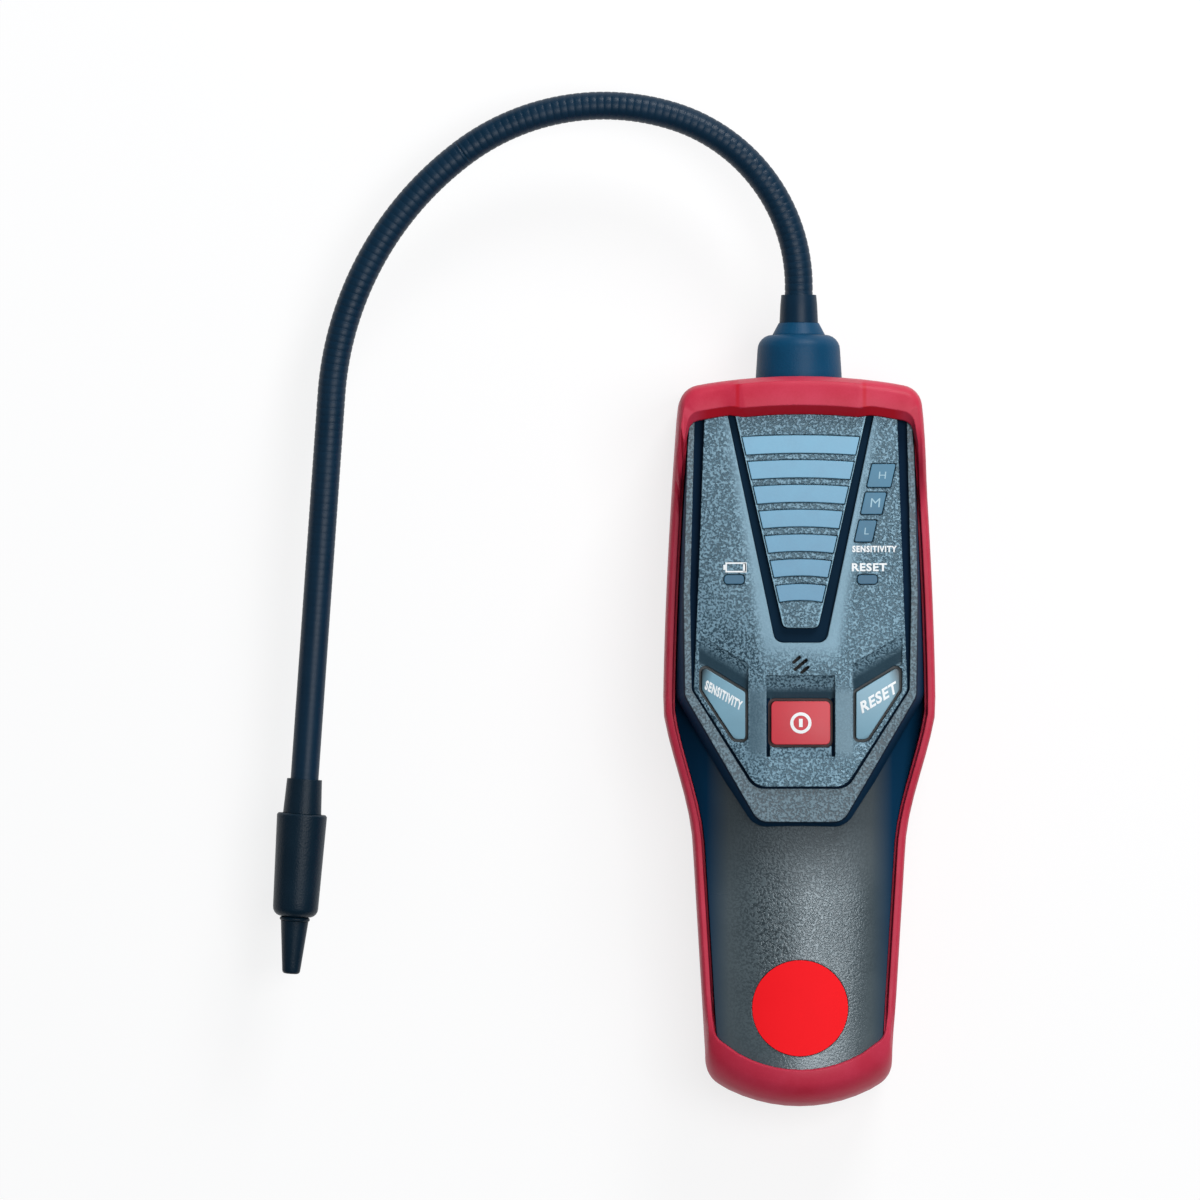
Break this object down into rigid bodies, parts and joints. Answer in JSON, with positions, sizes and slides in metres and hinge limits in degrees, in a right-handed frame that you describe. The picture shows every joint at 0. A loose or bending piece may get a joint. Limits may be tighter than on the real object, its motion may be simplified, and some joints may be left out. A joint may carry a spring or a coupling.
{
  "type": "refrigerant leak detector",
  "caption": "Hand-held refrigerant leak detector: booted housing with a bar display and keys, and a sensing tip on a bendable gooseneck.",
  "frame": {"origin": "middle of the rear cover's flat back, halfway along the boot", "axes": "+Z out of the face, +Y along the body towards the gooseneck, +X to the right seen from the front"},
  "size_m": [0.1793, 0.2747, 0.0466],
  "materials": {
    "cover_plastic": "fine moulded grain",
    "boot_rubber": "soft matt rubber",
    "face_plastic": "sparkling moulded grain",
    "trim_black": "smooth dark trim",
    "lens_blue": "clear tinted lens",
    "key_red": "satin key",
    "key_blue": "satin key",
    "badge_red": "plain label",
    "board_green": "solder mask",
    "part_black": "moulded",
    "part_cream": "moulded",
    "steel": "plated",
    "cell_wrap": "printed wrap",
    "collar_navy": "satin moulding",
    "neck_black": "ribbed sleeve",
    "sensor_white": "ceramic"
  },
  "bodies": {
    "housing": {"front_cover": "cover_plastic", "rear_cover": "cover_plastic", "rubber_boot": "boot_rubber", "face_plate": "face_plastic", "display_panel": "face_plastic", "display_trim": "trim_black", "bar_lens_1": "lens_blue", "bar_lens_2": "lens_blue", "bar_lens_3": "lens_blue", "bar_lens_4": "lens_blue", "bar_lens_5": "lens_blue", "bar_lens_6": "lens_blue", "bar_lens_7": "lens_blue", "level_lens_high": "lens_blue", "level_lens_mid": "lens_blue", "level_lens_low": "lens_blue", "battery_lens": "lens_blue", "reset_lens": "lens_blue", "badge_disc": "badge_red", "main_board": "board_green", "power_switch": "part_black", "sensitivity_switch": "part_black", "reset_switch": "part_black", "control_chip": "part_black", "speaker": "part_black", "lead_socket": "part_cream", "indicator_leds": "part_cream", "battery_springs": "steel", "contact_plates": "steel", "case_screws": "steel", "board_screws": "steel", "neck_locknut": "steel", "battery_cell_1": "cell_wrap", "battery_cell_2": "cell_wrap", "battery_cell_3": "cell_wrap", "battery_cell_4": "cell_wrap", "neck_collar": "collar_navy", "gland_ring": "collar_navy", "neck_base": "neck_black", "neck_sleeve": "neck_black"},
    "power_button": {"power_key": "key_red", "power_plunger": "part_cream"},
    "sensitivity_button": {"sensitivity_key": "key_blue", "sensitivity_plunger": "part_cream"},
    "reset_button": {"reset_key": "key_blue", "reset_plunger": "part_cream"},
    "door": {"battery_door": "cover_plastic"},
    "neck": {"neck_arch": "neck_black", "neck_bend": "neck_black"},
    "probe": {"neck_leg": "neck_black", "tip_sleeve": "neck_black", "sensor_housing": "collar_navy", "tip_seal": "neck_black", "sensor_nozzle": "neck_black", "sensor_element": "sensor_white"}
  },
  "joints": [
    {"name": "power_press", "type": "slide", "parent": "housing", "child": "power_button", "axis": [0, 0, -1], "range_m": [0, 0.0008], "stiffness_N_per_m": 800, "springref_m": -0.0005},
    {"name": "sensitivity_press", "type": "slide", "parent": "housing", "child": "sensitivity_button", "axis": [0, 0, -1], "range_m": [0, 0.0008], "stiffness_N_per_m": 800, "springref_m": -0.0005},
    {"name": "reset_press", "type": "slide", "parent": "housing", "child": "reset_button", "axis": [0, 0, -1], "range_m": [0, 0.0008], "stiffness_N_per_m": 800, "springref_m": -0.0005},
    {"name": "door_swing", "type": "hinge", "parent": "housing", "child": "door", "pos_m": [0, -0.0798, 0.0015], "axis": [-1, 0, 0], "range_deg": [0, 80]},
    {"name": "neck_lift", "type": "hinge", "parent": "housing", "child": "neck", "pos_m": [-0.008, 0.143, 0.02], "axis": [1, 0, 0], "range_deg": [-60, 30], "deforming": ["neck_base"]},
    {"name": "neck_swing", "type": "hinge", "parent": "neck", "child": "probe", "pos_m": [-0.116, 0.1306, 0.02], "axis": [0, 0, 1], "range_deg": [-35, 20], "deforming": ["neck_bend"]}
  ]
}
